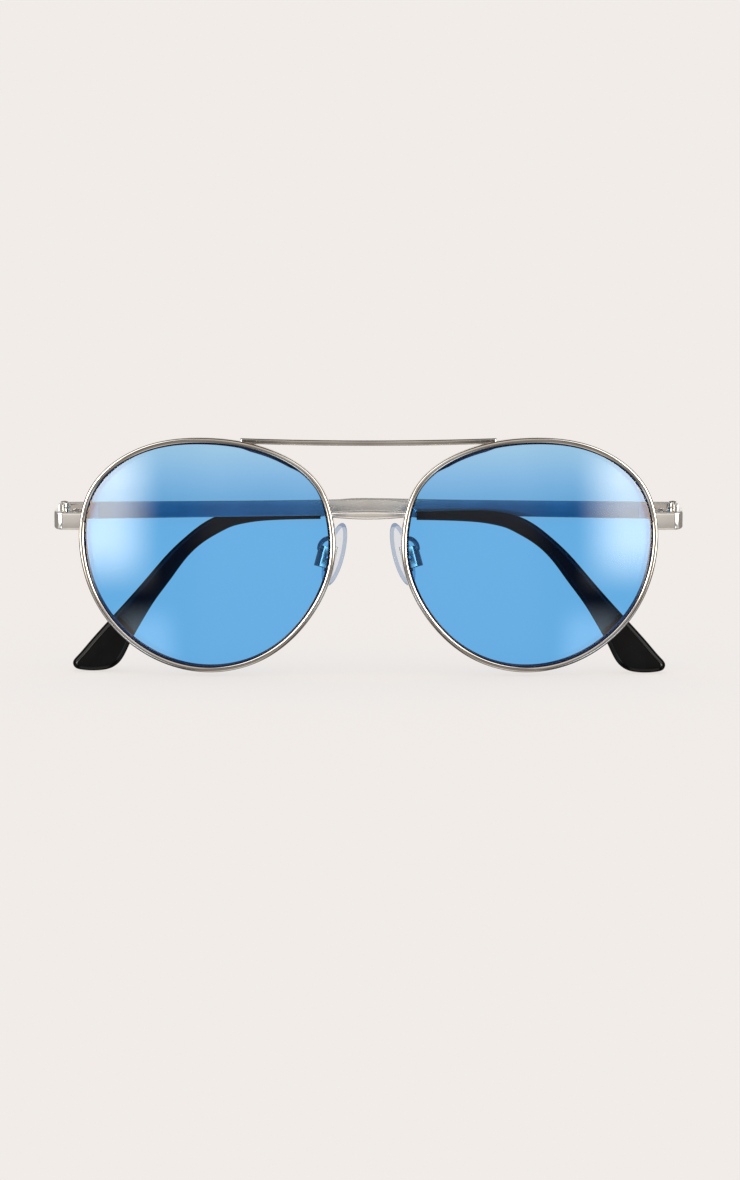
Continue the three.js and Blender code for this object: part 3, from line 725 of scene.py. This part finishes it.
def smooth_shading():
    """Geometry nodes that shade a mesh smooth, but for its sharp edges."""
    group = bpy.data.node_groups.new("smooth_shading", "GeometryNodeTree")
    group.interface.new_socket("Geometry", in_out="INPUT", socket_type="NodeSocketGeometry")
    group.interface.new_socket("Geometry", in_out="OUTPUT", socket_type="NodeSocketGeometry")
    start = group.nodes.new("NodeGroupInput")
    end = group.nodes.new("NodeGroupOutput")
    faces = group.nodes.new("GeometryNodeSetShadeSmooth")
    edges = group.nodes.new("GeometryNodeSetShadeSmooth")
    edges.domain = "EDGE"
    edges.inputs["Shade Smooth"].default_value = False
    angle = group.nodes.new("GeometryNodeInputMeshEdgeAngle")
    sharp = group.nodes.new("FunctionNodeCompare")
    sharp.operation = "GREATER_THAN"
    sharp.inputs["B"].default_value = math.radians(50)
    group.links.new(angle.outputs["Unsigned Angle"], sharp.inputs["A"])
    group.links.new(start.outputs[0], faces.inputs["Geometry"])
    group.links.new(faces.outputs["Geometry"], edges.inputs["Geometry"])
    group.links.new(sharp.outputs["Result"], edges.inputs["Selection"])
    group.links.new(edges.outputs["Geometry"], end.inputs[0])
    return group


SMOOTH_SHADING = smooth_shading()


# ---- The object ------------------------------------------------------------------------------------
def build():
    bar("brow_bar", BROW, lambda x: BROW["height"], 0.42, DRAWN)
    # The bridge takes the lighter chrome, whose brightness is a painted highlight.
    bar("bridge", BRIDGE, bridge_height, 0.75, HIGHLIGHT_CHROME)
    for side, mirror in SIDES.items():
        rim(side, mirror)
        lens(side, mirror)
        endpiece(side, mirror)
        temple(side, mirror)
        temple_tip(side, mirror)
        nose_pad(side, mirror)
        pad_arm(side, mirror)
        screw(f"hinge_screw_{side}", HINGE_SCREW)
        screw(f"closing_screw_{side}", CLOSING_SCREW)
        rock = JOINTS[f"{side}_pad_rock"]
        screw(f"pad_screw_{side}", PAD_SCREW, [-part for part in rock["axis"]], rock["pos_m"])
        # The closing blocks and the hinge's front leaf take the darker copy of the chrome, as painted shade.
        for node in ("closing_block_lower", "closing_block_upper", "hinge_front_leaf"):
            soften(f"{node}_{side}", SHADED)
        soften(f"hinge_temple_leaf_{side}", CHROME)
        # The pad's box takes the darker copy too, as painted shade.
        soften(f"pad_box_{side}", SHADED, 0.08)
        soften(f"pad_insert_{side}", STEEL, 0.06)


# ---- Studio ----------------------------------------------------------------------------------------
BACKDROP = (0.879, 0.838, 0.807, 1)


def floor():
    """A large pale disc, most of whose tone is its own, so that shadows on it stay light."""
    own_share = 0.75
    mesh = bpy.data.meshes.new("floor")
    edit = bmesh.new()
    bmesh.ops.create_circle(edit, cap_ends=True, segments=96, radius=12)
    edit.to_mesh(mesh)
    edit.free()
    material = bpy.data.materials.new("pale_floor")
    tree = Tree(material)
    own = tree.node("Emission", {"Color": BACKDROP, "Strength": own_share})
    lit = tree.node("BsdfDiffuse", {"Color": [part * (1 - own_share) for part in BACKDROP[:3]] + [1]})
    tree.finish(tree.node("AddShader", {0: own.outputs[0], 1: lit.outputs[0]}))
    mesh.materials.append(material)
    made = bpy.data.objects.new("floor", mesh)
    made.visible_glossy = False
    bpy.context.scene.collection.objects.link(made)


# Softboxes that only reflections see, on both sides alike: azimuth from the front, elevation and soft edge in
# degrees, level of brightness, and colour
SOFTBOXES = [
    {"azimuth": (29, 52), "elevation": (-7.5, 17), "soft": 6.5, "level": 13, "colour": (1, 0.92, 0.78, 1)},
    {"azimuth": (22, 34), "elevation": (-29, -18), "soft": 4, "level": 3.0, "colour": (0.8, 0.95, 1.1, 1)},
    {"azimuth": (25, 75), "elevation": (25, 62), "soft": 6, "level": 2.2, "colour": (1, 0.99, 0.97, 1)},
]


def studio():
    """Even light for everything, and a darker room with softboxes for what mirrors it."""
    world = bpy.data.worlds.new("studio")
    bpy.context.scene.world = world
    tree = Tree(world)
    way = tree.node("SeparateXYZ", {"Vector": tree.node("TexCoord").outputs["Generated"]}).outputs
    aside = tree.math("ABSOLUTE", way["X"])
    azimuth = tree.math("ARCTAN2", aside, tree.math("MULTIPLY", way["Y"], -1.0))
    elevation = tree.math("ARCSINE", way["Z"])

    ramp = tree.node("ValToRGB", {"Fac": tree.between(way["Z"], -1.0, 1.0)})
    stops = [
        (-1, 0.95), (-0.8, 0.8), (-0.6, 0.45), (-0.45, 0.28), (-0.25, 0.34), (-0.1, 0.45), (0.1, 0.5),
        (0.3, 0.65), (0.5, 1.0), (0.7, 0.9), (0.83, 0.25), (1, 0.12),
    ]
    for _ in range(len(stops) - 2):
        ramp.color_ramp.elements.new(0.5)
    for element, (height, level) in zip(ramp.color_ramp.elements, stops):
        element.position = (height + 1) / 2
        element.color = (level, level * 0.93, level * 0.86, 1)
    room = ramp.outputs["Color"]
    room = tree.mix(tree.between(aside, 0.16, 0.32, smooth=True), room, (0.08, 0.075, 0.07, 1))
    room = tree.mix(tree.between(aside, 0.55, 0.75, smooth=True), room, (0.62, 0.6, 0.58, 1))
    room = tree.mix(tree.between(aside, 0.82, 0.95, smooth=True), room, (0.08, 0.07, 0.06, 1))
    behind = tree.math("MULTIPLY", tree.between(way["Y"], -0.1, 0.15, smooth=True),
                       tree.between(way["Y"], 0.7, 0.95, 1.0, 0.0, smooth=True))
    room = tree.mix(behind, room, (0.09, 0.07, 0.06, 1))
    room = tree.mix(tree.between(way["Y"], 0.7, 0.95, smooth=True), room, BACKDROP)
    for box in SOFTBOXES:
        soft = math.radians(box["soft"])
        inside = None
        for value, ends in ((azimuth, box["azimuth"]), (elevation, box["elevation"])):
            low, high = (math.radians(end) for end in ends)
            rise = tree.between(value, low - soft, low + soft, smooth=True)
            fall = tree.between(value, high - soft, high + soft, 1.0, 0.0, smooth=True)
            window = tree.math("MULTIPLY", rise, fall)
            inside = window if inside is None else tree.math("MULTIPLY", inside, window)
        glow = tree.math("MULTIPLY", inside, box["level"])
        added = tree.node("Mix", data_type="RGBA", blend_type="ADD")
        added.clamp_factor = False
        for index, value in ((0, glow), (6, room), (7, box["colour"])):
            tree.set(added.inputs[index], value)
        room = added.outputs[2]

    path = tree.node("LightPath").outputs
    seen = tree.mix(path["Is Glossy Ray"], grey(1.0), room)
    seen = tree.mix(path["Is Camera Ray"], seen, BACKDROP)
    tree.finish(tree.node("Background", {"Color": seen, "Strength": 1.0}), "OutputWorld")


def camera():
    """A long lens in front of the glasses, looking down on them a little."""
    elevation = math.radians(5)
    distance = 1.5
    view_width = 0.17005
    aim = Vector(row([(0.345, 0, 19.27)], 1)[0])
    data = bpy.data.cameras.new("camera")
    data.sensor_fit = "HORIZONTAL"
    data.sensor_width = 36
    data.lens = data.sensor_width * distance / view_width
    data.clip_start, data.clip_end = 0.05, 100
    made = bpy.data.objects.new("camera", data)
    back = Vector((0, -math.cos(elevation), math.sin(elevation)))
    made.location = aim + back * distance
    made.rotation_mode = "QUATERNION"
    made.rotation_quaternion = (-back).to_track_quat("-Z", "Y")
    bpy.context.scene.collection.objects.link(made)
    bpy.context.scene.camera = made


camera()
build()
floor()
studio()
bpy.context.scene.view_settings.view_transform = "Standard"
